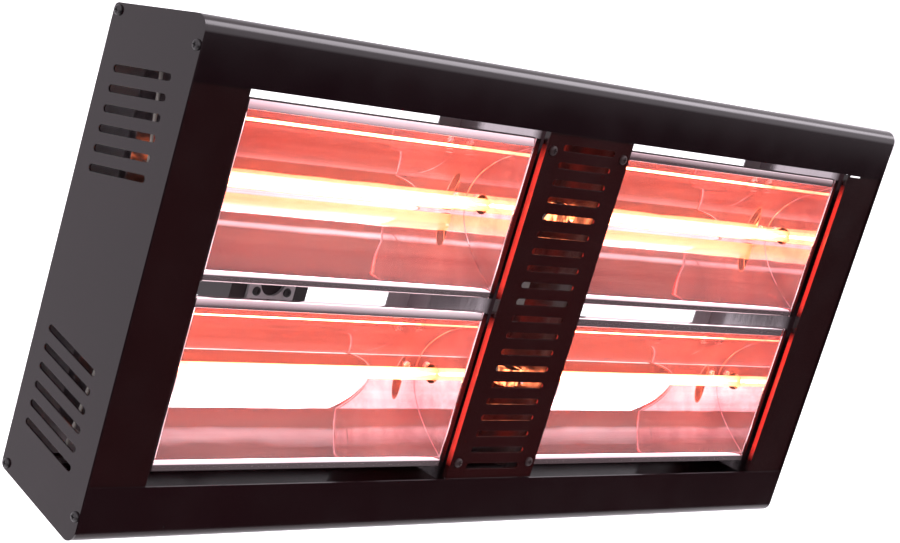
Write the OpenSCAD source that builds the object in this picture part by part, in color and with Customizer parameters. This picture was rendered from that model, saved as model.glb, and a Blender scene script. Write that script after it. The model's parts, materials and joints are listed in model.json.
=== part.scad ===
// Wall-hung infrared heater: four quartz halogen lamps in parabolic reflectors,
// two across and two down, in a black sheet-metal casing on a tilting bracket.
// The origin is the middle of the wall bracket, on the wall. +X runs along the
// casing, +Z is up and the heater faces -Y.

/* [Casing] */
// Length of the casing over its end plates
casing_len = 850; // [800:10:900]
// Height of the casing at its front
casing_h = 400; // [396:2:410]
// Depth of the casing, front to back
casing_d = 106; // [104:1:116]
// How far the top and bottom slope in from front to back
slope_drop = 19.5; // [16:0.5:21]
// Radius of the front corners
front_r = 10.5; // [9:0.5:12]
// Radius of the back corners
back_r = 5.5; // [4:0.5:7]
// Thickness of the formed sheet
sheet = 1.2; // [1:0.1:1.4]
// Thickness of each end plate
end_t = 1.5; // [1.2:0.1:2]
// Height of the front rails, top and bottom
rail_h = 47; // [45:1:48]
// Width of each side stile, from the casing's end
stile_w = 54.3; // [53:0.1:55]
// Width of the centre cover
cover_w = 105; // [100:1:106]
// How far the centre cover is set back behind the rails' faces
cover_recess = 1.5; // [1.4:0.1:2]

/* [Reflectors] */
// Distance from the casing's middle to the near end of a reflector
trough_in = 59.4; // [59:0.1:61]
// Distance from the casing's middle to the far end of a reflector
trough_out = 363.2; // [361:0.1:364]
// Height of a reflector's centreline above or below the casing's middle
row_z = 75.4; // [75:0.1:76]
// Depth of the bottom of a reflector's curve
trough_d = 65; // [64:0.5:66]
// Depth of a reflector's front lips
lip_d = 8.4; // [8:0.1:9]
// Half of the height of a reflector's mouth
mouth_h = 61.6; // [61:0.1:62]
// Height of the flat lips along a reflector's mouth
lip_h = 7.5; // [6:0.1:7.8]
// Thickness of the reflector sheet
mirror_t = 0.8; // [0.6:0.1:1]

/* [Lamps] */
// Outside diameter of a lamp's quartz tube
tube_dia = 10.5; // [10:0.1:11]
// Depth of a lamp's centreline behind the casing's front
lamp_d = 45.7; // [45:0.1:46.5]
// Diameter of the hole a lamp passes through in a reflector's cheek
lamp_hole_dia = 16; // [15:0.5:17]
// Supports along each filament
support_count = 12; // [8:1:16]

/* [Vents] */
// Width of the slots in the end plates and in the centre cover
slot_w = 5.5; // [5:0.1:6]
// Slots in each group on an end plate
end_slots = 6; // [5:1:6]
// Distance from one slot to the next
slot_pitch = 14.88; // [14.6:0.02:15]
// Slots in the centre cover
cover_slots = 20; // [16:2:20]
// Length of a slot in the centre cover
cover_slot_len = 65; // [60:1:70]

/* [Bracket] */
// Distance from the wall to the tilt axis
pivot_to_wall = 64; // [64:1:72]
// Distance from the tilt axis to the casing's back plates
pivot_to_back = 33; // [33:1:36]
// Distance from the middle to the centre of each ear's foot
ear_x = 174.5; // [170:0.5:178]
// Thickness of the bracket and of the ears
plate_t = 3; // [3:0.5:4]
// Diameter of the tilt bolts
bolt_dia = 8; // [8:0.5:10]
// Distance between the wall bolt holes along the wall
wall_hole_x = 450; // [450:5:460]
// Distance between the wall bolt holes up the wall
wall_hole_z = 32; // [30:1:34]
// Diameter of the wall bolt holes
wall_hole_dia = 9; // [8:0.5:10]

/* [Hidden] */
$fn = 48;
half_len = casing_len / 2;
half_h = casing_h / 2;
back_in_d = casing_d - sheet;
front_y = -(pivot_to_wall + pivot_to_back + back_in_d);
slope = atan(slope_drop / casing_d);
shell_len = casing_len - 2 * end_t;
rail_z = half_h - rail_h;

// screws: the end plates' front pair and back pair, as [depth, height]
end_screws = [[4.6, 177], [casing_d - 6.5, 176.1]];
screw_port_rs = [4.3, 4.9];
screw_bore_r = 1.8;
screw_hole_r = 2.2;
head_r = 4;
head_h = 2.4;

// front sheets
tuck_z = 165;
hem_t = 0.9;
hem_h = 6;
stile_in = half_len - stile_w;
return_d = 4.8;
cover_screw = [44.2, 137.9];
cover_screw_hole_r = 1.7;
seat_flange_w = 17.8;
corner_steps = 10;

// reflector section, from its own centreline: depth falls with the square of height
curve_k = (trough_d - lip_d) / (mouth_h * mouth_h);
curve_steps = 40;
cheek_flange = 5.6;
trough_len = trough_out - trough_in;
trough_mid = (trough_out + trough_in) / 2;
rivet_r = 2.6;
rivet_inset = 12;

// chassis: posts beside the compartments, centre channel and back plates
channel_d = 70;
channel_t = 1.2;
channel_half_h = 150;
post_flange_w = 14;
inner_post_x = cover_w / 2 - sheet - 0.2;
outer_post_x = stile_in + 1.9;
post_half_h = 146;
post_top_z = 158;
post_top_d = [6, 76];
post_back_d = back_in_d - sheet;
shelf_half_h = 22;
shelf_reach = 33;
back_rim = 25;
back_return_z = 160;
back_rivet_z = 165;
back_rivet_r = 1.6;
back_rail_z = 75;
back_rail_h = 40;
back_rail_t = 3;

// lamps
tube_r = tube_dia / 2;
tube_bore_r = tube_r - 1;
tube_overhang = 13;
tube_len = trough_len + 2 * tube_overhang;
base_len = 22;
base_w = 15;
base_h = 9.5;
plug_len = 9;
filament_r = 1.5;
support_r = tube_bore_r - 0.15;
clip_t = 0.8;
clip_w = 12;

// wiring
lead_r = 1.6;
block_len = 62;
block_d = 22;
block_h = 24;
block_ways = 4;

// ears, bracket and bolts
ear_foot_w = 51;
ear_tip_r = 16;
ear_out_x = ear_x + ear_foot_w / 2;
foot_bolt_pitch = 34;
foot_bolt_r = 3;
pivot_y = -pivot_to_wall;
back_y = pivot_y - pivot_to_back;
side_gap = 0.35;
friction_t = 1.2;
arm_in_x = ear_out_x + side_gap + friction_t;
arm_out_x = arm_in_x + plate_t;
bolt_r = bolt_dia / 2;
bolt_fit = 0.08;
washer_r = bolt_r * 2;
washer_t = 1.6;
bolt_head_t = 5.3;
bolt_head_r = 7.5;
nut_t = 8;
bracket_half_h = 30;
wall_plate_half_len = wall_hole_x / 2 + 25;
// hollow stand-offs of the bracket, between the wall and the tilt bolts
stand_w = 85;
stand_half_h = 66;
stand_y = -46;
stand_x = arm_out_x - stand_w / 2;
arm_plate_h = 116;
arm_plate_screw = [17, 46];
gland_r = 9.5;
gland_bore_r = 5.5;
cable_hole_r = 8.2;
gland_z = -60;

// ---------- helpers ----------

// Puts a piece drawn with Y as depth behind the casing's front in its place
module in_casing() {
    translate([0, front_y, 0]) children();
}

// Runs a section, drawn as [depth, height], along X from x0 for a length
module run_x(x0, length) {
    translate([x0, 0, 0]) rotate([90, 0, 90]) linear_extrude(height = length) children();
}

// A sheet facing front, drawn as [x, height], with its front face at a depth
module face_on(depth, thickness) {
    translate([0, depth + thickness, 0])
        rotate([90, 0, 0]) linear_extrude(height = thickness) children();
}

// A round bar along X, centred on x
module bar_x(x, depth, z, r, length) {
    translate([x - length / 2, depth, z]) rotate([0, 90, 0]) cylinder(r = r, h = length);
}

// A round bar along the depth, starting at a depth
module bar_d(x, depth, z, r, length) {
    translate([x, depth, z]) rotate([-90, 0, 0]) cylinder(r = r, h = length);
}

module mirror_x() {
    children();
    mirror([1, 0, 0]) children();
}

module mirror_z() {
    children();
    mirror([0, 0, 1]) children();
}

// A slot with round ends along the first axis of a section
module slot_2d(length, width) {
    square([length - width, width], center = true);
    for (side = [-1, 1]) translate([side * (length - width) / 2, 0]) circle(d = width);
}

// Centre of a corner's arc at a depth, where the slope starts at the front's height
function arc_centre(depth, r) = [depth, half_h - depth * tan(slope) - r / cos(slope)];
// Points round a corner, from one direction to another, in degrees above the depth axis
function corner_arc(centre, r, from, to) = [
    for (i = [0:corner_steps])
        let (angle = from + (to - from) * i / corner_steps)
            centre + r * [cos(angle), sin(angle)]];
function reversed(list) = [for (i = [len(list) - 1:-1:0]) list[i]];
function upside_down(list) = [for (place = list) [place[0], -place[1]]];

// The upper half of the casing's side view, front to back, set in by a distance
function upper_outline(inset) = concat(
    corner_arc(arc_centre(front_r, front_r), front_r - inset, 180, 90 - slope),
    corner_arc(arc_centre(casing_d - back_r, back_r), back_r - inset, 90 - slope, 0));

module casing_outline() {
    upper = upper_outline(0);
    polygon(concat(upper, reversed(upside_down(upper))));
}

// ---------- casing ----------

// Half of the wrapped shell: front rail, slope and a short return at the back
module shell_section() {
    polygon(concat(
        [[0, rail_z]], upper_outline(0), [[casing_d, back_return_z]],
        [[casing_d - sheet, back_return_z]], reversed(upper_outline(sheet)),
        [[sheet, rail_z + hem_h], [sheet + hem_t, rail_z + hem_h], [sheet + hem_t, rail_z]]));
}

module shell_half() {
    difference() {
        union() {
            run_x(-shell_len / 2, shell_len) shell_section();
            for (i = [0, 1])
                bar_x(0, end_screws[i][0], end_screws[i][1], screw_port_rs[i], shell_len);
        }
        for (place = end_screws) bar_x(0, place[0], place[1], screw_bore_r, shell_len + 2);
        back_rivet_xs() bar_d(0, back_in_d - 1, back_rivet_z, back_rivet_r, 4);
    }
}

module top_shell() {
    color([0.1, 0.07, 0.08]) in_casing() shell_half();
}

module bottom_shell() {
    drain = [-344, -186];
    color([0.1, 0.07, 0.08]) in_casing() difference() {
        mirror([0, 0, 1]) shell_half();
        bar_d(drain[0], -1, drain[1], 1, 4);
    }
}

// Back plate from x0 to x1: it closes a compartment and leaves the back open beside it
module back_plate(x0, x1) {
    half_plate = back_rivet_z + 5;
    difference() {
        translate([x0, post_back_d, -half_plate]) cube([x1 - x0, sheet, 2 * half_plate]);
        mirror_z() back_rivet_xs() bar_d(0, post_back_d - 1, back_rivet_z, back_rivet_r, 4);
        rail_rivet_xs() bar_d(0, post_back_d - 1, back_rail_z, back_rivet_r, 4);
        bar_d(0, post_back_d - 1, gland_z, cable_hole_r, 4);
    }
}

module centre_back_plate() {
    reach = inner_post_x + back_rim;
    color([0.75, 0.74, 0.75]) in_casing() back_plate(-reach, reach);
}

module left_back_plate() {
    color([0.75, 0.74, 0.75]) in_casing() mirror([1, 0, 0])
        back_plate(outer_post_x - back_rim, shell_len / 2);
}

module right_back_plate() {
    color([0.75, 0.74, 0.75]) in_casing() back_plate(outer_post_x - back_rim, shell_len / 2);
}

// Rivets that hold the back plates to both shells
module back_rivet_xs() {
    mirror_x() for (x = [30, 361, 405]) translate([x, 0, 0]) children();
}

// Rivets that hold the back rail to the back plates
module rail_rivet_xs() {
    mirror_x() for (x = [66, 358]) translate([x, 0, 0]) children();
}

module back_rivets() {
    color([0.15, 0.13, 0.14]) in_casing() {
        mirror_z() back_rivet_xs() {
            bar_d(0, post_back_d, back_rivet_z, back_rivet_r, 2 * sheet);
            bar_d(0, casing_d, back_rivet_z, 2 * back_rivet_r, 1);
        }
        rail_rivet_xs() {
            bar_d(0, post_back_d, back_rail_z, back_rivet_r, sheet + back_rail_t);
            bar_d(0, back_in_d + back_rail_t, back_rail_z, 2 * back_rivet_r, 1);
        }
    }
}

// Flat bar across the open back that the ears stand on
module back_rail() {
    half_rail = outer_post_x - 6;
    color([0.1, 0.08, 0.09]) in_casing() difference() {
        translate([-half_rail, back_in_d, back_rail_z - back_rail_h / 2])
            cube([2 * half_rail, back_rail_t, back_rail_h]);
        rail_rivet_xs() bar_d(0, back_in_d - 1, back_rail_z, back_rivet_r, 6);
        ear_bolt_places() bar_d(0, back_in_d - 1, 0, foot_bolt_r + 0.2, 6);
    }
}

// End plate at the casing's right end, its slots parallel to the casing's sloping edges
module end_plate() {
    first_z = 136.6;
    slot_back = 86.8;
    slot_run = 60.6;
    difference() {
        run_x(half_len - end_t, end_t) casing_outline();
        mirror_z() {
            for (place = end_screws) bar_x(half_len, place[0], place[1], screw_hole_r, 6);
            run_x(half_len - end_t - 1, end_t + 2)
                for (i = [0:end_slots - 1])
                    translate([slot_back - slot_run / 2,
                        first_z - i * slot_pitch + slot_run / 2 * tan(slope)])
                        rotate(-slope) slot_2d(slot_run / cos(slope) + slot_w, slot_w);
        }
    }
}

module left_end_plate() {
    color([0.28, 0.26, 0.29]) in_casing() mirror([1, 0, 0]) end_plate();
}

module right_end_plate() {
    color([0.28, 0.26, 0.29]) in_casing() end_plate();
}

// Pan head screw along +X with its head's underside at the origin and a cross recess
module pan_screw(shank_r, shank_len) {
    dome_steps = 6;
    dome = [for (i = [0:dome_steps])
        let (angle = 90 * i / dome_steps)
            [head_r * (0.45 + 0.55 * cos(angle)), head_h * (0.35 + 0.65 * sin(angle))]];
    difference() {
        rotate([0, 90, 0]) rotate_extrude()
            polygon(concat([[0, -shank_len], [shank_r, -shank_len], [shank_r, 0], [head_r, 0]],
                dome, [[0, head_h]]));
        for (turn = [0, 90])
            translate([head_h, 0, 0]) rotate([turn, 0, 0]) cube([2.2, 0.9, 4.2], center = true);
    }
}

module end_plate_screws() {
    color([0.2, 0.18, 0.2]) in_casing() mirror_x() mirror_z()
        for (place = end_screws)
            translate([half_len, place[0], place[1]]) pan_screw(screw_bore_r - 0.05, 12);
}

// Side stile at the right end, tucked behind both rails, with a return along the window
module stile() {
    outer = half_len - end_t - 0.1;
    // the ends step back behind the hems of the rails
    step_d = sheet + hem_t;
    translate([stile_in, sheet, -rail_z]) cube([outer - stile_in, sheet, 2 * rail_z]);
    mirror_z() translate([stile_in, step_d, rail_z - 4])
        cube([outer - stile_in, sheet, tuck_z - rail_z + 4]);
    translate([stile_in, sheet, -rail_z + 1]) cube([sheet, return_d, 2 * rail_z - 2]);
}

module left_stile() {
    color([0.14, 0.07, 0.08]) in_casing() mirror([1, 0, 0]) stile();
}

module right_stile() {
    color([0.14, 0.07, 0.08]) in_casing() difference() {
        stile();
        // short slot under the top rail
        translate([stile_in + 3.5, 0, rail_z - 2.4]) cube([20, 4, 1.6]);
    }
}

module cover_screw_places() {
    for (side = [-1, 1], up = [-1, 1])
        translate([side * cover_screw[0], 0, up * cover_screw[1]]) children();
}

module centre_cover() {
    back = cover_recess + sheet;
    top_gap = 0.5;
    inner_h = rail_z - top_gap;
    color([0.2, 0.07, 0.08]) in_casing() {
        difference() {
            translate([-cover_w / 2, cover_recess, -inner_h])
                cube([cover_w, sheet, 2 * inner_h]);
            for (i = [0:cover_slots - 1])
                translate([0, 0, (i - (cover_slots - 1) / 2) * slot_pitch])
                    face_on(cover_recess - 1, sheet + 2) slot_2d(cover_slot_len, slot_w);
            cover_screw_places() bar_d(0, 0, 0, cover_screw_hole_r, 6);
        }
        mirror_x() translate([cover_w / 2 - sheet, back, -inner_h])
            cube([sheet, return_d - sheet + 0.5, 2 * inner_h]);
    }
}

module centre_cover_screws() {
    color([0.06, 0.05, 0.06]) in_casing() cover_screw_places()
        translate([0, cover_recess, 0]) rotate([0, 0, -90])
            pan_screw(cover_screw_hole_r - 0.05, 8);
}

// ---------- chassis ----------

// Upright channel between the inner posts, open to the back
module centre_channel() {
    half_w = inner_post_x - sheet - 0.2;
    wire_hole_r = 9;
    color([0.75, 0.74, 0.75]) in_casing() difference() {
        union() {
            translate([-half_w, channel_d, -channel_half_h])
                cube([2 * half_w, channel_t, 2 * channel_half_h]);
            mirror_x() translate([half_w - channel_t, channel_d, -channel_half_h])
                cube([channel_t, post_back_d - sheet - channel_d, 2 * channel_half_h]);
        }
        bar_d(0, channel_d - 1, gland_z, wire_hole_r, 4);
    }
}

// Post with its web from x0 and its flanges reaching away from the reflector, which is at
// +X of it when side is 1 and at -X when side is -1. A shelf carries the reflector's back,
// and the web reaches up behind the rails past both flanges.
module post(x0, side, seat_d, seat_w) {
    flange_x = side > 0 ? x0 + sheet : x0;
    difference() {
        union() {
            translate([x0, seat_d, -post_half_h])
                cube([sheet, post_back_d - seat_d, 2 * post_half_h]);
            mirror_z() translate([x0, post_top_d[0], 0])
                cube([sheet, post_top_d[1] - post_top_d[0], post_top_z]);
            translate([flange_x - (side > 0 ? seat_w : 0), seat_d, -post_half_h])
                cube([seat_w, sheet, 2 * post_half_h]);
            translate([flange_x - (side > 0 ? post_flange_w : 0), post_back_d - sheet,
                -post_half_h])
                cube([post_flange_w, sheet, 2 * post_half_h]);
            mirror_z() translate([side > 0 ? x0 + sheet : x0 - shelf_reach, channel_d,
                row_z - shelf_half_h])
                cube([shelf_reach, channel_t, 2 * shelf_half_h]);
        }
        mirror_z() {
            bar_x(x0, lamp_d, row_z, lamp_hole_dia / 2, 10);
            for (x = [trough_in + rivet_inset, trough_out - rivet_inset])
                bar_d(x, channel_d - 1, row_z, rivet_r, 4);
        }
    }
}

// Post beside the centre compartment, which carries the cover's screws too
module inner_post() {
    difference() {
        post(inner_post_x - sheet, 1, cover_recess + sheet + 0.1, seat_flange_w);
        mirror_z() bar_d(cover_screw[0], 0, cover_screw[1], cover_screw_hole_r, 8);
    }
}

// Post beside an end compartment, with a longer shelf for the lamps' bases
module outer_post() {
    post(outer_post_x, -1, 2 * sheet + 0.1, post_flange_w);
    mirror_z() translate([outer_post_x + sheet, channel_d, row_z - shelf_half_h])
        cube([shelf_reach - sheet, channel_t, 2 * shelf_half_h]);
}

module left_inner_post() {
    color([0.3, 0.25, 0.26]) in_casing() mirror([1, 0, 0]) inner_post();
}

module right_inner_post() {
    color([0.3, 0.25, 0.26]) in_casing() inner_post();
}

module left_outer_post() {
    color([0.3, 0.25, 0.26]) in_casing() mirror([1, 0, 0]) outer_post();
}

module right_outer_post() {
    color([0.3, 0.25, 0.26]) in_casing() outer_post();
}

// Rivets that hold each reflector's back to the posts' shelves at its two ends
module reflector_rivets() {
    color([0.7, 0.7, 0.72]) in_casing()
        for (side = [-1, 1], up = [-1, 1], x = [trough_in + rivet_inset, trough_out - rivet_inset])
            translate([side * x, 0, up * row_z]) {
                bar_d(0, trough_d - 1.2, 0, rivet_r + 0.8, 1);
                bar_d(0, trough_d - 0.2, 0, rivet_r, channel_d - trough_d + channel_t + 0.2);
            }
}

// ---------- reflectors ----------

function curve_depth(h) = trough_d - curve_k * h * h;
function curve_points(half, shift) = [
    for (i = [0:curve_steps])
        let (h = half * (2 * i / curve_steps - 1))
            [curve_depth(h) + shift, h]];

// The trough's section about its own centreline, with flat lips and turned-back edges
module trough_section() {
    hem = 6;
    top = mouth_h + lip_h;
    polygon(concat(
        [[lip_d + hem, -top], [lip_d, -top]],
        curve_points(mouth_h, 0),
        [[lip_d, top], [lip_d + hem, top],
            [lip_d + hem, top - mirror_t], [lip_d + mirror_t, top - mirror_t]],
        reversed(curve_points(mouth_h, mirror_t)),
        [[lip_d + mirror_t, mirror_t - top], [lip_d + hem, mirror_t - top]]));
}

// One reflector: side is -1 for left and 1 for right, up is -1 for lower and 1 for upper
module reflector(side, up) {
    shift = side > 0 ? trough_in : -trough_out;
    color([0.82, 0.8, 0.82]) in_casing() translate([0, 0, up * row_z])
        difference() {
            run_x(shift, trough_len) trough_section();
            for (x = [trough_in + rivet_inset, trough_out - rivet_inset])
                bar_d(side * x, trough_d - 3, 0, rivet_r + 0.1, 6);
        }
}

// A cheek closes a trough's end: a plate in the curve's shape and a flange along its front
module cheek_plate(x0) {
    top = mouth_h + lip_h;
    tab = 6;
    difference() {
        union() {
            run_x(x0, mirror_t) polygon(concat(
                [[lip_d + tab, -top], [lip_d, -top], [lip_d, top], [lip_d + tab, top],
                    [lip_d + tab, mouth_h]],
                reversed(curve_points(mouth_h - 2, mirror_t)),
                [[lip_d + tab, -mouth_h]]));
            translate([x0, lip_d, -top]) cube([cheek_flange, mirror_t, 2 * top]);
        }
        bar_x(x0, lamp_d, 0, lamp_hole_dia / 2, 10);
    }
}

// end is 1 for the cheek nearer the casing's end and -1 for the one nearer the middle
module cheek(side, up, end) {
    x = end > 0 ? trough_out : -trough_in;
    color([0.8, 0.78, 0.8]) in_casing() translate([0, 0, up * row_z])
        mirror([side * end > 0 ? 0 : 1, 0, 0]) cheek_plate(x);
}

// ---------- lamps ----------

module lamp_at(side, up) {
    in_casing() translate([side * trough_mid, lamp_d, up * row_z]) children();
}

module tube(side, up) {
    color([0.9, 0.9, 0.92, 0.4]) lamp_at(side, up) difference() {
        bar_x(0, 0, 0, tube_r, tube_len);
        bar_x(0, 0, 0, tube_bore_r, tube_len + 2);
    }
}

module filament(side, up) {
    length = tube_len - 2 * plug_len;
    spacing = trough_len / support_count;
    color([1, 0.75, 0.35]) lamp_at(side, up) {
        bar_x(0, 0, 0, filament_r, length);
        for (i = [0:support_count - 1])
            bar_x((i - (support_count - 1) / 2) * spacing, 0, 0, support_r, 0.7);
    }
}

// The ceramic bases on both ends of a lamp, each with the plug that seals its tube
module bases(side, up) {
    color([0.9, 0.88, 0.84]) lamp_at(side, up) mirror_x() {
        bar_x(tube_len / 2 - plug_len / 2, 0, 0, tube_bore_r, plug_len);
        difference() {
            translate([tube_len / 2, -base_h / 2, -base_w / 2]) cube([base_len, base_h, base_w]);
            bar_x(tube_len / 2 + base_len, 0, 0, lead_r, 8);
        }
    }
}

// Spring clips that hold the lamps' bases on the channels
module lamp_clips() {
    reach = base_w / 2 + clip_t;
    arm = base_h + 2;
    centre = tube_len / 2 + base_len / 2;
    color([0.7, 0.7, 0.7]) for (side = [-1, 1], up = [-1, 1]) lamp_at(side, up) mirror_x() {
        translate([centre - clip_w / 2, base_h / 2, -reach]) cube([clip_w, clip_t, 2 * reach]);
        mirror_z() translate([centre - clip_w / 2, base_h / 2 - arm, reach - clip_t])
            cube([clip_w, arm + clip_t, clip_t]);
        translate([centre - clip_w / 2, base_h / 2 + clip_t, -clip_t])
            cube([clip_w, channel_d - lamp_d - base_h / 2 - clip_t, 2 * clip_t]);
    }
}

// ---------- wiring ----------

function unit(v) = v / norm(v);
function leg(points, i) = unit(points[i + 1] - points[i]);
function heading(points, i) =
    i == 0 ? leg(points, 0)
    : i == len(points) - 1 ? leg(points, i - 1)
    : unit(leg(points, i - 1) + leg(points, i));
// A direction square to the wire at point i, carried on from point to point without twist
function side_way(points, i) =
    let (
        ahead = heading(points, i),
        before = i == 0 ? [0.3, 0.5, 0.8] : side_way(points, i - 1))
    unit(before - (before * ahead) * ahead);

// A sleeved wire through a list of points
module wire(points) {
    sides = 8;
    last = len(points) - 1;
    rings = [for (i = [0:last])
        let (u = side_way(points, i), v = cross(heading(points, i), u))
            for (k = [0:sides - 1])
                points[i] + lead_r * (cos(k * 360 / sides) * u + sin(k * 360 / sides) * v)];
    walls = [for (i = [0:last - 1], k = [0:sides - 1])
        let (next = (k + 1) % sides)
            [i * sides + k, (i + 1) * sides + k, (i + 1) * sides + next, i * sides + next]];
    start_cap = [for (k = [0:sides - 1]) k];
    end_cap = [for (k = [sides - 1:-1:0]) last * sides + k];
    polyhedron(points = rings, faces = concat([start_cap], walls, [end_cap]));
}

// The outer leads run behind a rail to the middle; the inner leads go straight to the block
module lamp_leads() {
    base_end = trough_mid + tube_len / 2 + base_len - 4;
    inner_end = trough_mid - tube_len / 2 - base_len + 4;
    rail_run = [58, 158];
    block_z = block_h / 2;
    color([0.75, 0.72, 0.66]) in_casing() mirror_x() mirror_z() {
        wire([[base_end, lamp_d, row_z], [base_end + 13, lamp_d, row_z],
            [base_end + 13, rail_run[0], rail_run[1] - 12],
            [base_end - 2, rail_run[0], rail_run[1]],
            [20, rail_run[0], rail_run[1]], [9, rail_run[0], rail_run[1] - 10],
            [8.5, 58, 40], [8.5, 58, block_z]]);
        wire([[inner_end, lamp_d, row_z], [inner_end - 6, lamp_d, row_z],
            [20, 48, row_z - 8], [20, 50, 60], [22, 56, 30], [22, 56, block_z]]);
    }
}

module terminal_block() {
    way = block_len / block_ways;
    color([0.92, 0.9, 0.86]) in_casing() difference() {
        translate([-block_len / 2, channel_d - block_d, -block_h / 2])
            cube([block_len, block_d, block_h]);
        for (i = [0:block_ways - 1])
            translate([(i - (block_ways - 1) / 2) * way, 0, 0])
                bar_d(0, channel_d - block_d - 1, 0, 3.4, 7);
        for (i = [1:block_ways - 1])
            translate([(i - block_ways / 2) * way - 0.8, channel_d - block_d - 1, -block_h])
                cube([1.6, 6, 2 * block_h]);
    }
}

module terminal_screws() {
    way = block_len / block_ways;
    color([0.8, 0.7, 0.4]) in_casing() for (i = [0:block_ways - 1])
        translate([(i - (block_ways - 1) / 2) * way, 0, 0]) difference() {
            bar_d(0, channel_d - block_d + 2, 0, 3.3, 4);
            translate([-3, channel_d - block_d + 1.5, -0.4]) cube([6, 1.5, 0.8]);
        }
}

// Gland for the supply cable: body through the back plate, six-sided collar and dome
module cable_gland() {
    collar_t = 5;
    neck = 9;
    color([0.1, 0.1, 0.1]) in_casing() difference() {
        union() {
            bar_d(0, back_in_d - sheet - 7, gland_z, cable_hole_r - 0.2, 10);
            translate([0, back_in_d, gland_z]) rotate([-90, 0, 0])
                cylinder(r = gland_r * 1.16, h = collar_t, $fn = 6);
            bar_d(0, back_in_d + collar_t, gland_z, gland_r, neck);
        }
        bar_d(0, back_in_d - 20, gland_z, gland_bore_r, 60);
    }
}

module gland_nut() {
    color([0.1, 0.1, 0.1]) in_casing() difference() {
        translate([0, back_in_d - sheet - 5, gland_z]) rotate([-90, 0, 0])
            cylinder(r = gland_r * 1.16, h = 5, $fn = 6);
        bar_d(0, back_in_d - sheet - 8, gland_z, cable_hole_r - 0.1, 12);
    }
}

// ---------- ears and bracket ----------

module ear_bolt_places() {
    for (side = [-1, 1], step = [-1, 1])
        translate([side * ear_x + step * foot_bolt_pitch / 2, 0, back_rail_z]) children();
}

// Where a line from a point, given from the tilt axis, touches the tip's circle
function tip_touch(place, turn) =
    let (angle = atan2(place[1], place[0]) + turn * acos(ear_tip_r / norm(place)))
    ear_tip_r * [cos(angle), sin(angle)];

// Side view of an arm from a straight root at root_y, between two heights, to a round tip
// about the tilt axis
module arm_outline(root_y, top, bottom) {
    reach = root_y - pivot_y;
    turn = reach > 0 ? 1 : -1;
    translate([pivot_y, 0]) {
        polygon([[reach, top], tip_touch([reach, top], turn),
            tip_touch([reach, bottom], -turn), [reach, bottom]]);
        circle(r = ear_tip_r);
    }
}

// Ear on the back rail at the right: a foot with two bolts and an arm to the tilt bolt
module ear() {
    foot_y = back_y + back_rail_t;
    arm_top = back_rail_z + 5;
    bottom = back_rail_z - back_rail_h / 2;
    difference() {
        union() {
            translate([ear_x - ear_foot_w / 2, foot_y, bottom])
                cube([ear_foot_w, plate_t, back_rail_h]);
            run_x(ear_out_x - plate_t, plate_t) arm_outline(foot_y, arm_top, bottom);
        }
        translate([0, foot_y - 1, 0]) ear_bolt_places()
            bar_d(0, 0, 0, foot_bolt_r + 0.2, plate_t + 2);
        bar_x(ear_out_x, pivot_y, 0, bolt_r + bolt_fit, 10);
    }
}

module left_ear() {
    color([0.12, 0.1, 0.11]) mirror([1, 0, 0]) ear();
}

module right_ear() {
    color([0.12, 0.1, 0.11]) ear();
}

module ear_bolts() {
    hex_r = 5.8;
    grip = 2 * plate_t;
    color([0.72, 0.72, 0.74]) translate([0, back_y, 0]) ear_bolt_places() {
        bar_d(0, -8, 0, foot_bolt_r, 8 + grip);
        translate([0, grip, 0]) rotate([-90, 0, 0]) cylinder(r = hex_r, h = 4, $fn = 6);
    }
}

module ear_nuts() {
    nut_h = 5;
    color([0.72, 0.72, 0.74]) translate([0, back_y, 0]) ear_bolt_places() difference() {
        translate([0, -nut_h, 0]) rotate([-90, 0, 0]) cylinder(r = 5.8, h = nut_h, $fn = 6);
        bar_d(0, -nut_h - 1, 0, foot_bolt_r + 0.03, nut_h + 2);
    }
}

// Bracket: a plate on the wall and two hollow stand-offs, each with an arm to a tilt bolt
module wall_bracket() {
    color([0.13, 0.11, 0.12]) difference() {
        union() {
            translate([-wall_plate_half_len, -plate_t, -bracket_half_h])
                cube([2 * wall_plate_half_len, plate_t, 2 * bracket_half_h]);
            mirror_x() {
                for (x = [arm_in_x, arm_out_x - stand_w])
                    translate([x, stand_y, -stand_half_h])
                        cube([plate_t, -stand_y, 2 * stand_half_h]);
                translate([arm_out_x - stand_w, stand_y, -stand_half_h])
                    cube([stand_w, plate_t, 2 * stand_half_h]);
                run_x(arm_in_x, plate_t) arm_outline(stand_y, bracket_half_h, -bracket_half_h);
            }
        }
        for (x = [-1, 1], z = [-1, 1])
            bar_d(x * wall_hole_x / 2, -plate_t - 1, z * wall_hole_z / 2,
                wall_hole_dia / 2, plate_t + 2);
        mirror_x() bar_x(arm_in_x, pivot_y, 0, bolt_r + 0.05, 20);
        arm_plate_screw_places() bar_d(0, -1, 0, screw_bore_r, plate_t + 2);
    }
}

module arm_plate_screw_places() {
    for (side = [-1, 1], across = [-1, 1], up = [-1, 1])
        translate([side * stand_x + across * arm_plate_screw[0], stand_y,
            up * arm_plate_screw[1]]) children();
}

// Stiffening plates on the fronts of the bracket's stand-offs, with a long oval hole
module arm_plates() {
    hole_w = 28;
    hole_len = 100;
    color([0.7, 0.69, 0.7]) difference() {
        mirror_x() translate([stand_x - ear_foot_w / 2, stand_y - plate_t, -arm_plate_h / 2])
            cube([ear_foot_w, plate_t, arm_plate_h]);
        mirror_x() translate([stand_x, stand_y - plate_t - 1, 0])
            face_on(0, plate_t + 2) rotate(90) slot_2d(hole_len, hole_w);
        arm_plate_screw_places() bar_d(0, -plate_t - 1, 0, screw_hole_r, plate_t + 2);
    }
}

module arm_plate_screws() {
    color([0.1, 0.09, 0.1]) arm_plate_screw_places() translate([0, -plate_t, 0])
        rotate([0, 0, -90]) pan_screw(screw_bore_r - 0.05, 8);
}

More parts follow.
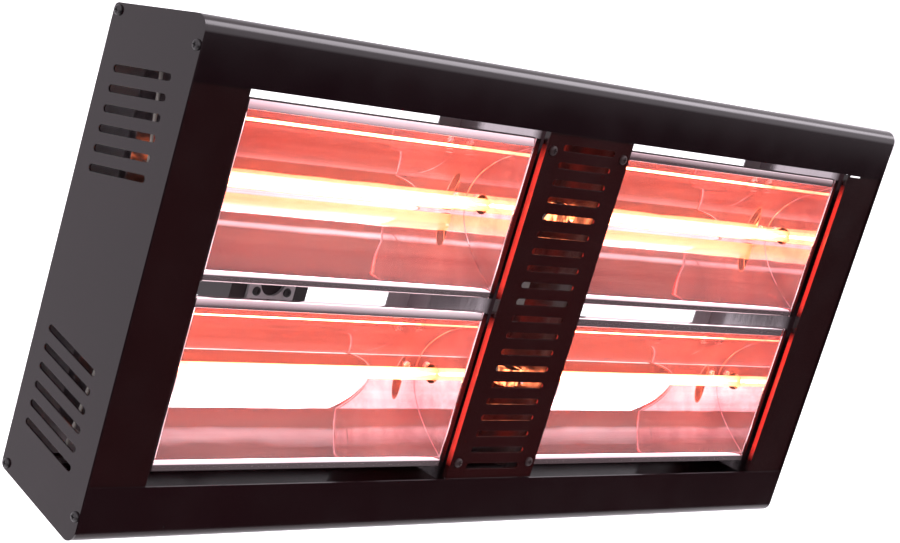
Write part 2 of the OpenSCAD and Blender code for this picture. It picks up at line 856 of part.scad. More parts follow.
module pivot_bolts() {
    head_x = arm_out_x + washer_t;
    nut_end = ear_out_x - plate_t - side_gap - washer_t - nut_t;
    color([0.75, 0.75, 0.77]) mirror_x() {
        translate([nut_end - 3, pivot_y, 0]) rotate([0, 90, 0])
            cylinder(r = bolt_r, h = head_x - nut_end + 3);
        translate([head_x, pivot_y, 0]) rotate([0, 90, 0])
            cylinder(r = bolt_head_r, h = bolt_head_t, $fn = 6);
    }
}

module washer(x, thickness) {
    difference() {
        bar_x(x + thickness / 2, pivot_y, 0, washer_r, thickness);
        bar_x(x, pivot_y, 0, bolt_r + 0.03, 4 * thickness);
    }
}

module pivot_washers() {
    color([0.75, 0.75, 0.77]) mirror_x() {
        washer(arm_out_x, washer_t);
        washer(arm_in_x - friction_t, friction_t);
        washer(ear_out_x - plate_t - side_gap - washer_t, washer_t);
    }
}

module pivot_nuts() {
    nut_x = ear_out_x - plate_t - side_gap - washer_t - nut_t;
    color([0.75, 0.75, 0.77]) mirror_x() difference() {
        translate([nut_x, pivot_y, 0]) rotate([0, 90, 0])
            cylinder(r = bolt_head_r, h = nut_t, $fn = 6);
        bar_x(nut_x, pivot_y, 0, bolt_r + 0.03, 4 * nut_t);
    }
}

// ---------- nodes ----------

top_shell();
bottom_shell();
centre_back_plate();
left_back_plate();
right_back_plate();
back_rivets();
back_rail();
left_end_plate();
right_end_plate();
end_plate_screws();
left_stile();
right_stile();
centre_cover();
centre_cover_screws();
centre_channel();
left_inner_post();
right_inner_post();
left_outer_post();
right_outer_post();
reflector_rivets();
reflector(-1, 1);  // upper_left_reflector
reflector(1, 1);  // upper_right_reflector
reflector(-1, -1);  // lower_left_reflector
reflector(1, -1);  // lower_right_reflector
cheek(-1, 1, 1);  // upper_left_outer_cheek
cheek(-1, 1, -1);  // upper_left_inner_cheek
cheek(1, 1, 1);  // upper_right_outer_cheek
cheek(1, 1, -1);  // upper_right_inner_cheek
cheek(-1, -1, 1);  // lower_left_outer_cheek
cheek(-1, -1, -1);  // lower_left_inner_cheek
cheek(1, -1, 1);  // lower_right_outer_cheek
cheek(1, -1, -1);  // lower_right_inner_cheek
tube(-1, 1);  // upper_left_tube
tube(1, 1);  // upper_right_tube
tube(-1, -1);  // lower_left_tube
tube(1, -1);  // lower_right_tube
filament(-1, 1);  // upper_left_filament
filament(1, 1);  // upper_right_filament
filament(-1, -1);  // lower_left_filament
filament(1, -1);  // lower_right_filament
bases(-1, 1);  // upper_left_bases
bases(1, 1);  // upper_right_bases
bases(-1, -1);  // lower_left_bases
bases(1, -1);  // lower_right_bases
lamp_clips();
lamp_leads();
terminal_block();
terminal_screws();
cable_gland();
gland_nut();
left_ear();
right_ear();
ear_bolts();
ear_nuts();
wall_bracket();
arm_plates();
arm_plate_screws();
pivot_bolts();
pivot_washers();
pivot_nuts();
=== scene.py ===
import json
import math

import bmesh
import bpy
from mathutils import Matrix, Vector


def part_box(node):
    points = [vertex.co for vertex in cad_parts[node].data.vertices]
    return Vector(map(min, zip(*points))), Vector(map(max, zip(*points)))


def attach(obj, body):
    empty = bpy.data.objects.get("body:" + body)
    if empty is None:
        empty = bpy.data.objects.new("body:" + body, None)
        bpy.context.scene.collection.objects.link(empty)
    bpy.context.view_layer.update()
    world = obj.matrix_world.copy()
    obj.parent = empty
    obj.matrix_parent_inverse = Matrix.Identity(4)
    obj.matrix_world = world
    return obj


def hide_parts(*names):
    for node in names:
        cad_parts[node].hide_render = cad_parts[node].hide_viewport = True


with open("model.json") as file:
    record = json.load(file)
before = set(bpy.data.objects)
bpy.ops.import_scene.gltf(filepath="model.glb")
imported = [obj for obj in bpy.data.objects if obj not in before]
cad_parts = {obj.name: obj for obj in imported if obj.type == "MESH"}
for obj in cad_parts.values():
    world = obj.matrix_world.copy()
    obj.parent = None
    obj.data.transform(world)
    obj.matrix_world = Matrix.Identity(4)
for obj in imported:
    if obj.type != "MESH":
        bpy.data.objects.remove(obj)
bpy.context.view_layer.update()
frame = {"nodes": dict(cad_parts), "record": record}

MM = 0.001
SIDES = ("left", "right")
ROWS = ("upper", "lower")

# where the light of the lamps falls on the strips: |z| from off to full, in metres
LAMP_HEIGHTS = ((8 * MM, 20 * MM), (142 * MM, 126 * MM))
# y over which the posts' front edge turns from dark to bright, in metres
POST_EDGE_Y = (-190 * MM, -180 * MM)


# ---------- materials ----------

def add_node(tree, kind, **values):
    """A node with its inputs set by name and its properties set by attribute."""
    node = tree.nodes.new(kind)
    for key, value in values.items():
        if key in node.inputs:
            node.inputs[key].default_value = value
        else:
            setattr(node, key, value)
    return node


def new_material(name, colour, metallic, roughness, **sockets):
    """A material with one Principled shader and its object coordinates."""
    material = bpy.data.materials.new(name)
    material.use_nodes = True
    tree = material.node_tree
    shader = tree.nodes["Principled BSDF"]
    shader.inputs["Base Color"].default_value = (*colour, 1)
    shader.inputs["Metallic"].default_value = metallic
    shader.inputs["Roughness"].default_value = roughness
    for key, value in sockets.items():
        shader.inputs[key.replace("_", " ")].default_value = value
    place = add_node(tree, "ShaderNodeTexCoord")
    return material, tree, shader, place.outputs["Object"]


def coordinate(tree, axis, source="Object"):
    """One axis of the surface's own place or normal."""
    parts = add_node(tree, "ShaderNodeSeparateXYZ")
    tree.links.new(add_node(tree, "ShaderNodeTexCoord").outputs[source], parts.inputs["Vector"])
    return parts.outputs[axis]


def absolute(tree, value):
    node = add_node(tree, "ShaderNodeMath", operation="ABSOLUTE")
    tree.links.new(value, node.inputs[0])
    return node.outputs[0]


def noise(tree, place, scale, detail=3.0, stretch=(1, 1, 1), rough=0.5):
    mapping = add_node(tree, "ShaderNodeMapping")
    mapping.inputs["Scale"].default_value = stretch
    tree.links.new(place, mapping.inputs["Vector"])
    texture = add_node(tree, "ShaderNodeTexNoise")
    texture.inputs["Scale"].default_value = scale
    texture.inputs["Detail"].default_value = detail
    texture.inputs["Roughness"].default_value = rough
    tree.links.new(mapping.outputs["Vector"], texture.inputs["Vector"])
    return texture.outputs["Fac"]


def spread(tree, value, low, high, start=0.3, end=0.7):
    """A value between start and end spread over low to high."""
    node = add_node(tree, "ShaderNodeMapRange")
    node.inputs["From Min"].default_value = start
    node.inputs["From Max"].default_value = end
    node.inputs["To Min"].default_value = low
    node.inputs["To Max"].default_value = high
    tree.links.new(value, node.inputs["Value"])
    return node.outputs["Result"]


def tint(tree, value, first, second):
    node = add_node(tree, "ShaderNodeMix", data_type="RGBA")
    node.inputs[6].default_value = (*first, 1)
    node.inputs[7].default_value = (*second, 1)
    tree.links.new(value, node.inputs["Factor"])
    return node.outputs[2]


def bump(tree, shader, value, strength, distance, under=None):
    node = add_node(tree, "ShaderNodeBump")
    node.inputs["Strength"].default_value = strength
    node.inputs["Distance"].default_value = distance
    tree.links.new(value, node.inputs["Height"])
    if under:
        tree.links.new(under, node.inputs["Normal"])
    tree.links.new(node.outputs["Normal"], shader.inputs["Normal"])
    return node.outputs["Normal"]


def powder_coat(name, colour, roughness=0.3, specular=0.5):
    """Smooth baked enamel: faint orange peel, a little dust and uneven gloss."""
    material, tree, shader, place = new_material(name, colour, 0, roughness,
                                                 Specular_IOR_Level=specular)
    worn = [c * 1.25 for c in colour]
    cloud = noise(tree, place, 9, 4)
    tree.links.new(tint(tree, spread(tree, cloud, 0, 1), colour, worn),
                   shader.inputs["Base Color"])
    tree.links.new(spread(tree, noise(tree, place, 26, 5), roughness - 0.03, roughness + 0.04),
                   shader.inputs["Roughness"])
    bump(tree, shader, noise(tree, place, 620, 2), 0.12, 0.0001)
    return material


def bright_metal(name, colour, roughness, metallic=1.0, grain=(1, 1, 1)):
    """Rolled sheet: fine lines along its grain and smudges."""
    material, tree, shader, place = new_material(name, colour, metallic, roughness)
    dull = [c * 0.86 for c in colour]
    smudge = noise(tree, place, 14, 5)
    tree.links.new(tint(tree, spread(tree, smudge, 0, 1, 0.35, 0.75), colour, dull),
                   shader.inputs["Base Color"])
    lines = noise(tree, place, 260, 4, grain)
    tree.links.new(spread(tree, lines, roughness * 0.75, roughness * 1.35),
                   shader.inputs["Roughness"])
    bump(tree, shader, lines, 0.1, 0.00004)
    return material


def facing(tree, axis, start, end):
    """1 on faces whose own normal runs along an axis, either way, and 0 on the others."""
    return spread(tree, absolute(tree, coordinate(tree, axis, "Normal")), 0, 1, start, end)


def overlay(material, share, colour):
    """Another base colour laid over a material by share."""
    tree = material.node_tree
    base = tree.nodes["Principled BSDF"].inputs["Base Color"]
    node = add_node(tree, "ShaderNodeMix", data_type="RGBA")
    tree.links.new(share, node.inputs["Factor"])
    tree.links.new(base.links[0].from_socket, node.inputs[6])
    node.inputs[7].default_value = (*colour, 1)
    tree.links.new(node.outputs[2], base)


def mirror_sheet(name="mirror_aluminium"):
    """Bright rolled aluminium: sharp reflections and fine streaks along it. Its pinkish base
    colour, the deeper pink of the streaks and the faint pink clouds are painted red lamp light and
    painted reflection.
    """
    material, tree, shader, place = new_material(name, (0.96, 0.86, 0.87), 0.89, 0.02)
    streaks = noise(tree, place, 55, 5, (0.012, 1, 1), 0.65)
    clouds = noise(tree, place, 11, 4, (0.35, 1, 1), 0.6)
    # painted lamp light and painted reflection: pink tints laid into the base colour along the
    # streaks and clouds
    lamp_tinted_streaks = tint(tree, spread(tree, streaks, 0, 1, 0.35, 0.68), (0.96, 0.87, 0.88),
                    (0.82, 0.6, 0.62))
    blend = add_node(tree, "ShaderNodeMix", data_type="RGBA", blend_type="MULTIPLY")
    blend.inputs["Factor"].default_value = 1
    tree.links.new(lamp_tinted_streaks, blend.inputs[6])
    tree.links.new(tint(tree, spread(tree, clouds, 0, 1, 0.42, 0.72), (1, 1, 1),
                        (0.84, 0.72, 0.74)), blend.inputs[7])
    tree.links.new(blend.outputs[2], shader.inputs["Base Color"])
    tree.links.new(spread(tree, streaks, 0.012, 0.028), shader.inputs["Roughness"])
    grain = bump(tree, shader, streaks, 0.12, 0.00005)
    bump(tree, shader, noise(tree, place, 15, 2, (0.5, 1, 1)), 0.05, 0.004, grain)
    return material


def painted_strip(name, colour, roughness, side_colour):
    """Enamel with its faces across the length coloured beside the lamps.

    The colour stands for the lamps' light on those faces, and doesn't depend on the lamps.
    """
    material = powder_coat(name, colour, roughness)
    tree = material.node_tree
    height = absolute(tree, coordinate(tree, "Z"))
    share = facing(tree, "X", 0.75, 0.9)
    for limits in LAMP_HEIGHTS:
        product = add_node(tree, "ShaderNodeMath", operation="MULTIPLY")
        tree.links.new(share, product.inputs[0])
        tree.links.new(spread(tree, height, 0, 1, *limits), product.inputs[1])
        share = product.outputs[0]
    overlay(material, share, side_colour)
    return material


def folded_mirror():
    """The reflectors' sheet, darkened where it faces forwards and would mirror the dark front."""
    material = mirror_sheet("folded_mirror")
    overlay(material, facing(material.node_tree, "Y", 0.8, 0.95), (0.1, 0.06, 0.065))
    return material


def post_sheet():
    """Plain steel sheet, darkened along its front edge, which would mirror the dark front."""
    material = bright_metal("post_sheet", (0.55, 0.5, 0.52), 0.2, 0.9, (1, 1, 0.1))
    tree = material.node_tree
    overlay(material, spread(tree, coordinate(tree, "Y"), 1, 0, *POST_EDGE_Y),
            (0.025, 0.012, 0.014))
    return material


def lamp_lit(name, colour, metallic, roughness, glow, strength, grain):
    """A part beside the lamps that glows in patches, in place of the light that leaks past them."""
    material = bright_metal(name, colour, roughness, metallic)
    tree = material.node_tree
    shader = tree.nodes["Principled BSDF"]
    place = add_node(tree, "ShaderNodeTexCoord").outputs["Object"]
    shader.inputs["Emission Color"].default_value = (*glow, 1)
    tree.links.new(spread(tree, noise(tree, place, grain, 3, (1, 1, 0.4)), 0.06 * strength,
                          strength, 0.46, 0.66), shader.inputs["Emission Strength"])
    return material


def speckled(name, colour, roughness, grain_scale=900, depth=0.2):
    """Matte ceramic, plastic or sleeving with a fine grain."""
    material, tree, shader, place = new_material(name, colour, 0, roughness)
    shade = [c * 0.8 for c in colour]
    tree.links.new(tint(tree, spread(tree, noise(tree, place, 60, 5), 0, 1), colour, shade),
                   shader.inputs["Base Color"])
    bump(tree, shader, noise(tree, place, grain_scale, 3), depth, 0.0002)
    return material


def quartz_glass():
    """Clear tube: it shows mostly at its edges, with the warm glow of the lamp inside."""
    material, tree, shader, place = new_material("quartz", (0.95, 0.9, 0.88), 0, 0.04)
    shader.inputs["Emission Color"].default_value = (1.0, 0.24, 0.06, 1)
    shader.inputs["Emission Strength"].default_value = 2.0
    edge = add_node(tree, "ShaderNodeLayerWeight")
    edge.inputs["Blend"].default_value = 0.35
    tree.links.new(spread(tree, edge.outputs["Facing"], 0.28, 0.8, 0, 1), shader.inputs["Alpha"])
    tree.links.new(spread(tree, noise(tree, place, 40, 3), 0.02, 0.08), shader.inputs["Roughness"])
    return material


def hot_wire(name, strength):
    material, tree, shader, place = new_material(name, (0.4, 0.2, 0.1), 1, 0.4)
    shader.inputs["Emission Strength"].default_value = strength
    glow = noise(tree, place, 90, 2)
    tree.links.new(tint(tree, spread(tree, glow, 0, 1), (1.0, 0.15, 0.07), (1.0, 0.12, 0.05)),
                   shader.inputs["Emission Color"])
    return material


MATERIALS = {
    "casing_paint": powder_coat("casing_paint", (0.0064, 0.0018, 0.0028), 0.15, 0.44),
    "lower_paint": powder_coat("lower_paint", (0.0085, 0.0026, 0.0034), 0.22, 0.16),
    "cover_paint": painted_strip("cover_paint", (0.017, 0.0022, 0.0024), 0.19, (0.8, 0.07, 0.05)),
    "stile_paint": painted_strip("stile_paint", (0.0115, 0.0026, 0.003), 0.18,
                                 (0.8, 0.05, 0.035)),
    "bracket_paint": powder_coat("bracket_paint", (0.012, 0.006, 0.007), 0.36),
    "cover_screws": powder_coat("cover_screws", (0.014, 0.002, 0.002), 0.6),
    "black_screws": powder_coat("black_screws", (0.012, 0.01, 0.011), 0.38),
    "dark_rivets": bright_metal("dark_rivets", (0.16, 0.15, 0.16), 0.4),
    "bright_sheet": bright_metal("bright_sheet", (0.86, 0.85, 0.87), 0.25, 0.9),
    "mirror_aluminium": mirror_sheet(),
    # painted lamp light: the centre channel glows red in patches, and the red tint of its metal
    # stands for the lamps' light on it
    "compartment": lamp_lit("compartment", (0.2, 0.1, 0.1), 0.7, 0.3, (1, 0.06, 0.03), 0.2, 60),
    # painted lamp light: the lamp bases glow in patches, standing for glints of the lamps' light
    "glow_painted_ceramic": lamp_lit("glow_painted_ceramic", (0.5, 0.3, 0.22), 0, 0.5, (1, 0.22, 0.08), 9, 150),
    "folded_mirror": folded_mirror(),
    "plated_steel": bright_metal("plated_steel", (0.6, 0.58, 0.59), 0.42, 0.6, (1, 1, 0.1)),
    "dark_steel": post_sheet(),
    "spring_steel": bright_metal("spring_steel", (0.6, 0.57, 0.55), 0.3),
    "lead_sleeve": speckled("lead_sleeve", (0.7, 0.66, 0.6), 0.8, 1600, 0.5),
    "lamp_ceramic": speckled("lamp_ceramic", (0.86, 0.83, 0.77), 0.55),
    "brass_screws": bright_metal("brass_screws", (0.8, 0.6, 0.3), 0.3),
    "gland_plastic": speckled("gland_plastic", (0.02, 0.02, 0.021), 0.45),
    "zinc_bolts": bright_metal("zinc_bolts", (0.74, 0.74, 0.76), 0.28),
    "quartz": quartz_glass(),
    "filament": hot_wire("filament", 270),
    "support_wire": hot_wire("support_wire", 7),
}
NODE_PAINT = {"centre_cover": "cover_paint", "left_stile": "stile_paint",
              "right_stile": "stile_paint", "centre_channel": "compartment",
              "centre_cover_screws": "cover_screws", "bottom_shell": "lower_paint"}
for row in ROWS:
    for side in SIDES:
        NODE_PAINT[f"{row}_{side}_bases"] = "glow_painted_ceramic"
        NODE_PAINT[f"{row}_{side}_inner_cheek"] = "folded_mirror"
        NODE_PAINT[f"{row}_{side}_outer_cheek"] = "folded_mirror"
SLOT_OF = {part["node"]: part["material_slot"] for part in frame["record"]["subparts"]}
BODY_OF = {node: body for body, nodes in frame["record"]["behaviour"]["bodies"].items()
           for node in nodes}


# ---------- meshes ----------

def shade(bm, sharp_angle):
    """Smooth faces, with a hard edge wherever two meet more steeply than the angle."""
    for face in bm.faces:
        face.smooth = True
    for edge in bm.edges:
        if len(edge.link_faces) == 2:
            edge.smooth = edge.calc_face_angle(0) < sharp_angle


def add_piece(name, bm, node_names, sharp_angle=math.radians(32), slot=None, material=None):
    """Makes an object of the mesh that stands for some CAD nodes and rides on their body."""
    shade(bm, sharp_angle)
    mesh = bpy.data.meshes.new(name)
    bm.to_mesh(mesh)
    bm.free()
    piece = bpy.data.objects.new(name, mesh)
    bpy.context.scene.collection.objects.link(piece)
    slot = slot or SLOT_OF[node_names[0]]
    mesh.materials.append(MATERIALS[material or NODE_PAINT.get(node_names[0], slot)])
    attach(piece, BODY_OF[node_names[0]])
    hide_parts(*node_names)
    return piece


def middle_of(node):
    low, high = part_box(node)
    return Vector([(low[i] + high[i]) / 2 for i in range(3)])


def refine(node, edge_width):
    """A copy of a CAD node with its flat faces joined up and its hard edges rounded."""
    bm = bmesh.new()
    bm.from_mesh(frame["nodes"][node].data)
    bmesh.ops.remove_doubles(bm, verts=bm.verts, dist=2e-6)
    bmesh.ops.dissolve_limit(bm, angle_limit=math.radians(0.3), use_dissolve_boundaries=False,
                             verts=bm.verts, edges=bm.edges)
    piece = add_piece(node + "_finished", bm, [node])
    edges = piece.modifiers.new("edges", "BEVEL")
    edges.width = edge_width
    edges.segments = 2
    edges.limit_method = "ANGLE"
    edges.angle_limit = math.radians(32)
    edges.harden_normals = True
    return piece


def grid(bm, rows, closed_rows=False, closed_columns=False):
    """Quads between rows of points; every row has the same number of points."""
    made = [[bm.verts.new(point) for point in row] for row in rows]
    row_count, count = len(made), len(made[0])
    for i in range(row_count if closed_rows else row_count - 1):
        for j in range(count if closed_columns else count - 1):
            a, b = made[i], made[(i + 1) % row_count]
            k = (j + 1) % count
            bm.faces.new((a[j], a[k], b[k], b[j]))
    return made


def fillet(path, radii, steps=6):
    """A path of (depth, height) points with its corners turned into arcs."""
    out = [Vector(path[0])]
    for i in range(1, len(path) - 1):
        here = Vector(path[i])
        back, ahead = Vector(path[i - 1]) - here, Vector(path[i + 1]) - here
        angle = back.angle(ahead)
        radius = radii[i - 1]
        if radius <= 0 or angle > math.radians(179):
            out.append(here)
            continue
        reach = min(radius / math.tan(angle / 2), 0.49 * min(back.length, ahead.length))
        radius = reach * math.tan(angle / 2)
        middle = here + (back.normalized() + ahead.normalized()).normalized() \
            * radius / math.sin(angle / 2)
        start, end = here + back.normalized() * reach, here + ahead.normalized() * reach
        from_angle = math.atan2(start.y - middle.y, start.x - middle.x)
        turn = math.atan2(end.y - middle.y, end.x - middle.x) - from_angle
        turn = (turn + math.pi) % (2 * math.pi) - math.pi
        for k in range(steps + 1):
            at = from_angle + turn * k / steps
            out.append(middle + radius * Vector((math.cos(at), math.sin(at))))
    out.append(Vector(path[-1]))
    return out


def thicken(path, thickness):
    """The closed outline of a sheet that follows a path on its right-hand side."""
    normals = []
    for i, point in enumerate(path):
        before = (point - path[i - 1]).normalized() if i else None
        after = (path[i + 1] - point).normalized() if i < len(path) - 1 else None
        along = ((before or after) + (after or before)).normalized()
        normals.append(Vector((along.y, -along.x)) / max(0.5, along.dot(after or before)))
    return list(path) + [p + n * thickness for p, n in reversed(list(zip(path, normals)))]


# ---------- reflectors ----------

FRONT_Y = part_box("top_shell")[0][1]
TROUGH_DEPTH, LIP_DEPTH, MOUTH, LIP, SHEET = 65 * MM, 8.4 * MM, 61.6 * MM, 7.5 * MM, 0.8 * MM
# depth of the edge folded back behind each lip
HEM = 6 * MM
# degrees by which the upper lip leans back
LIP_TILT = {"left": 8, "right": 2.5}
BLEND_ARC = 4.6 * MM

# shallow beads along each trough, chosen for the bright lines they reflect:
# height on it, half width and rise
BEADS = {"upper": [(47.5 * MM, 6.5 * MM, 1.55 * MM), (-11 * MM, 4 * MM, 0.5 * MM)],
         "lower": [(47.5 * MM, 6.5 * MM, 1.95 * MM), (-8 * MM, 4 * MM, 0.5 * MM)]}


def parabola(row, steps):
    """The trough's section as (depth, height) points, from its lower lip to its upper."""
    scale = (TROUGH_DEPTH - LIP_DEPTH) / MOUTH ** 2
    points = []
    for i in range(steps + 1):
        height = MOUTH * (2 * i / steps - 1)
        depth = TROUGH_DEPTH - scale * height * height
        for middle, half, rise in BEADS[row]:
            if abs(height - middle) < half:
                depth -= rise * math.cos(math.pi / 2 * (height - middle) / half) ** 2
        points.append((depth, height))
    return points


def reflector(row, side):
    """Parabolic trough of thin bright sheet, its front lips flat and folded back."""
    node = f"{row}_{side}_reflector"
    low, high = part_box(node)
    middle = middle_of(node).z
    top = MOUTH + LIP
    # the curve's first stretch makes room for the arc at the lower lip
    curve = [point for point in parabola(row, 240) if point[1] > -MOUTH + 6 * MM]
    fall = LIP * math.tan(math.radians(LIP_TILT[side]))
    path = [(LIP_DEPTH + HEM, -top), (LIP_DEPTH, -top), (LIP_DEPTH, -MOUTH)] + curve \
        + [(LIP_DEPTH + fall, top), (LIP_DEPTH + HEM, top)]
    radii = [1.5 * MM, BLEND_ARC] + [0] * (len(curve) - 1) + [0.8 * MM, 0.9 * MM]
    outline = thicken(fillet(path, radii), SHEET)
    half = len(outline) // 2
    bevel = [p.lerp(outline[-1 - i] if i < half else p, 0.6) for i, p in enumerate(outline)]
    bm = bmesh.new()
    edge = 0.7 * MM
    rows = [[(x, FRONT_Y + p.x, middle + p.y) for p in ring]
            for x, ring in ((low[0], bevel), (low[0] + edge, outline),
                            (high[0] - edge, outline), (high[0], bevel))]
    made = grid(bm, rows, closed_columns=True)
    for end in (made[0], made[-1]):
        for j in range(half - 1):
            bm.faces.new((end[j], end[j + 1], end[-2 - j], end[-1 - j]))
    bmesh.ops.recalc_face_normals(bm, faces=bm.faces)
    return add_piece(f"{row}_{side}_trough", bm, [node], math.radians(25))


# ---------- lamps ----------

def tube_along_x(bm, stations, centre, sides=40):
    """A round skin along X through (x, radius) stations."""
    angles = [2 * math.pi * k / sides for k in range(sides)]
    rows = [[(x, centre.y + radius * math.cos(a), centre.z + radius * math.sin(a))
             for a in angles] for x, radius in stations]
    return grid(bm, rows, closed_columns=True)


def lamp_tube(row, side):
    node = f"{row}_{side}_tube"
    low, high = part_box(node)
    radius = (high[2] - low[2]) / 2
    wall, edge = 0.9 * MM, 0.3 * MM
    outer = [(low[0], radius - edge), (low[0] + edge, radius),
             (high[0] - edge, radius), (high[0], radius - edge)]
    inner = [(high[0], radius - wall), (low[0], radius - wall)]
    bm = bmesh.new()
    made = tube_along_x(bm, outer + inner, middle_of(node))
    for k in range(len(made[0])):
        n = (k + 1) % len(made[0])
        bm.faces.new((made[-1][k], made[-1][n], made[0][n], made[0][k]))
    bmesh.ops.recalc_face_normals(bm, faces=bm.faces)
    return add_piece(f"{row}_{side}_quartz", bm, [node])


def sweep(bm, points, radius, sides):
    """A round wire through points."""
    rows = []
    up = Vector((0.31, 0.5, 0.81))
    for i, point in enumerate(points):
        ahead = (points[min(i + 1, len(points) - 1)] - points[max(i - 1, 0)]).normalized()
        across = (up - up.dot(ahead) * ahead).normalized()
        up = across
        other = ahead.cross(across)
        rows.append([point + radius * (math.cos(2 * math.pi * k / sides) * across
                                       + math.sin(2 * math.pi * k / sides) * other)
                     for k in range(sides)])
    made = grid(bm, rows, closed_columns=True)
    bm.faces.new(list(reversed(made[0])))
    bm.faces.new(made[-1])


def filament(row, side):
    """Coiled tungsten wire with straight tails."""
    node = f"{row}_{side}_filament"
    low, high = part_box(node)
    centre = middle_of(node)
    length = high[0] - low[0]
    coil_r, wire_r, pitch, tail = 1.25 * MM, 0.42 * MM, 1.7 * MM, 14 * MM
    turns = int((length - 2 * tail) / pitch)
    per_turn = 10
    bm = bmesh.new()
    points = [Vector((low[0], centre.y, centre.z)),
              Vector((low[0] + tail - 3 * MM, centre.y, centre.z))]
    start = low[0] + tail
    for i in range(turns * per_turn + 1):
        at = 2 * math.pi * i / per_turn
        points.append(Vector((start + pitch * i / per_turn, centre.y + coil_r * math.cos(at),
                              centre.z + coil_r * math.sin(at))))
    points += [Vector((high[0] - tail + 3 * MM, centre.y, centre.z)),
               Vector((high[0], centre.y, centre.z))]
    sweep(bm, points, wire_r, 5)
    return add_piece(f"{row}_{side}_coil", bm, [node], math.radians(80))


def filament_supports(row, side):
    """Wire spirals around the coil that reach nearly to the tube's bore."""
    node = f"{row}_{side}_filament"
    low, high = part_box(node)
    centre = middle_of(node)
    reach = (high[2] - low[2]) / 2 - 0.25 * MM
    count = 12
    trough_low, trough_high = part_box(f"{row}_{side}_reflector")
    spacing = (trough_high[0] - trough_low[0]) / count
    bm = bmesh.new()
    for i in range(count):
        x = centre.x + (i - (count - 1) / 2) * spacing
        turns, per_turn = 2.25, 16
        total = int(turns * per_turn)
        points = []
        for k in range(total + 1):
            share = k / total
            radius = 1.7 * MM + (reach - 1.7 * MM) * min(1, share * 1.6)
            at = 2 * math.pi * k / per_turn
            points.append(Vector((x + 1.6 * MM * (share - 0.5), centre.y + radius * math.cos(at),
                                  centre.z + radius * math.sin(at))))
        sweep(bm, points, 0.22 * MM, 5)
    return add_piece(f"{row}_{side}_supports", bm, [node], math.radians(80),
                     slot="filament", material="support_wire")


def cheek_fold(row, side, end):
    """Bright round fold where a cheek turns from the trough's end to its front flange."""
    node = f"{row}_{side}_{end}_cheek"
    low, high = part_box(node)
    middle = middle_of(f"{row}_{side}_reflector")
    x = high[0] if high[0] < middle.x else low[0]
    bm = bmesh.new()
    sweep(bm, [Vector((x, low[1] + 0.8 * MM, middle.z + up * MOUTH)) for up in (-1, 0, 1)],
          0.85 * MM, 16)
    return add_piece(f"{row}_{side}_{end}_fold", bm, [node], math.radians(50),
                     material="mirror_aluminium")


for row in ROWS:
    for side in SIDES:
        cheek_fold(row, side, "inner")
        cheek_fold(row, side, "outer")
        reflector(row, side)
        lamp_tube(row, side)
        filament(row, side)
        filament_supports(row, side)

# every other piece keeps its CAD shape with its edges rounded by this many millimetres
EDGE_WIDTHS = {"top_shell": 0.35, "bottom_shell": 0.35, "left_end_plate": 0.4,
               "right_end_plate": 0.4, "wall_bracket": 0.5, "terminal_block": 0.6,
               "cable_gland": 0.5, "gland_nut": 0.5, "pivot_bolts": 0.5, "pivot_nuts": 0.5,
               "left_ear": 0.5, "right_ear": 0.5, "arm_plates": 0.4, "back_rail": 0.5}
# nodes made above, and the one that stays as it is
CUSTOM = ("_reflector", "_tube", "_filament")
KEPT = ("lamp_leads",)
for node in frame["nodes"]:
    if node.endswith(CUSTOM):
        continue
    if node in KEPT:
        frame["nodes"][node].data.materials.clear()
        frame["nodes"][node].data.materials.append(MATERIALS[SLOT_OF[node]])
        continue
    refine(node, EDGE_WIDTHS.get(node, 0.25) * MM)


# ---------- floor, light and camera ----------

def floor():
    """Pale floor below the hanging heater."""
    left, front, far, height = -1.1, -0.75, 9, -0.8
    bm = bmesh.new()
    corners = [(left, front), (far, front), (far, far), (left, far)]
    bm.faces.new([bm.verts.new((x, y, height)) for x, y in corners])
    mesh = bpy.data.meshes.new("floor")
    bm.to_mesh(mesh)
    bm.free()
    piece = bpy.data.objects.new("floor", mesh)
    bpy.context.scene.collection.objects.link(piece)
    material, tree, shader, place = new_material("floor", (0.95, 0.95, 0.95), 0, 0.9)
    shader.inputs["Emission Color"].default_value = (1, 1, 1, 1)
    shader.inputs["Emission Strength"].default_value = 0.45
    mesh.materials.append(material)


PLAIN_LIGHT = 1.2


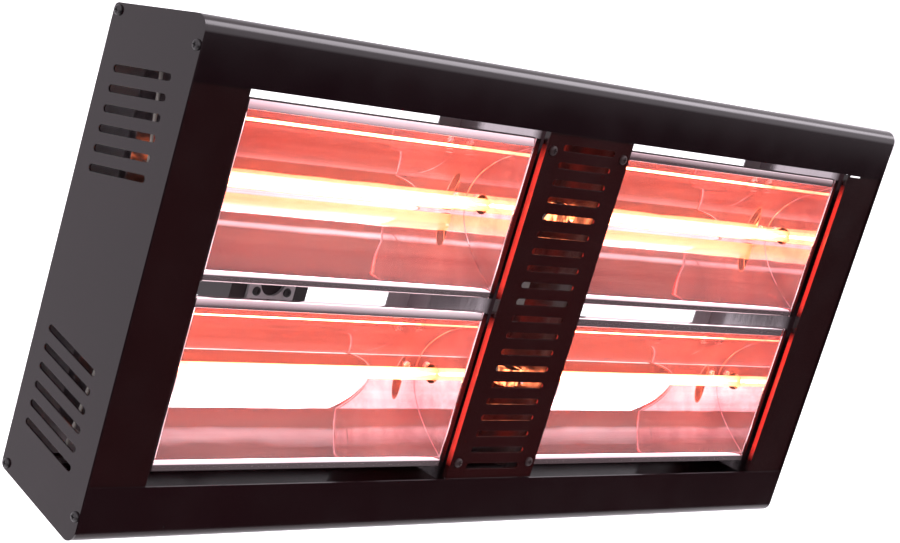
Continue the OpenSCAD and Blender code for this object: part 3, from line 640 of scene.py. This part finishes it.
def studio():
    """Soft surround, dark below the horizon in front of the heater, with one bright patch."""
    world = bpy.data.worlds.new("studio")
    bpy.context.scene.world = world
    world.use_nodes = True
    tree = world.node_tree
    background = tree.nodes["Background"]
    place = add_node(tree, "ShaderNodeTexCoord")
    parts = add_node(tree, "ShaderNodeSeparateXYZ")
    tree.links.new(place.outputs["Generated"], parts.inputs["Vector"])
    to_front = spread(tree, parts.outputs["Y"], 1, 0, -0.3, 0.25)
    height = spread(tree, parts.outputs["Z"], 0.03, 1.7, -0.09, 0.12)
    strength = add_node(tree, "ShaderNodeMix", data_type="FLOAT")
    strength.inputs[2].default_value = PLAIN_LIGHT
    tree.links.new(to_front, strength.inputs["Factor"])
    tree.links.new(height, strength.inputs[3])
    # the bright patch gives the top edge its highlight
    towards = add_node(tree, "ShaderNodeVectorMath", operation="DOT_PRODUCT")
    towards.inputs[1].default_value = Vector((0.7, -0.25, 0.67)).normalized()
    tree.links.new(place.outputs["Generated"], towards.inputs[0])
    total = add_node(tree, "ShaderNodeMath", operation="ADD")
    tree.links.new(strength.outputs[0], total.inputs[0])
    tree.links.new(spread(tree, towards.outputs["Value"], 0, 6, 0.955, 0.985), total.inputs[1])
    # the camera itself always sees a plain pale surround
    seen = add_node(tree, "ShaderNodeMix", data_type="FLOAT")
    tree.links.new(add_node(tree, "ShaderNodeLightPath").outputs["Is Camera Ray"],
                   seen.inputs["Factor"])
    tree.links.new(total.outputs[0], seen.inputs[2])
    seen.inputs[3].default_value = PLAIN_LIGHT
    tree.links.new(seen.outputs[0], background.inputs["Strength"])
    background.inputs["Color"].default_value = (1, 0.93, 1.0, 1)


def camera():
    data = bpy.data.cameras.new("camera")
    data.lens = 86.205
    data.shift_x, data.shift_y = 0.05556, 0.10
    data.clip_end = 50
    eye = bpy.data.objects.new("camera", data)
    eye.location = (-1.35451, -1.34993, 0.38144)
    eye.rotation_euler = (1.30823, -0.2764, -0.73679)
    bpy.context.scene.collection.objects.link(eye)
    bpy.context.scene.camera = eye


floor()
studio()
camera()
bpy.context.scene.view_settings.view_transform = "Standard"
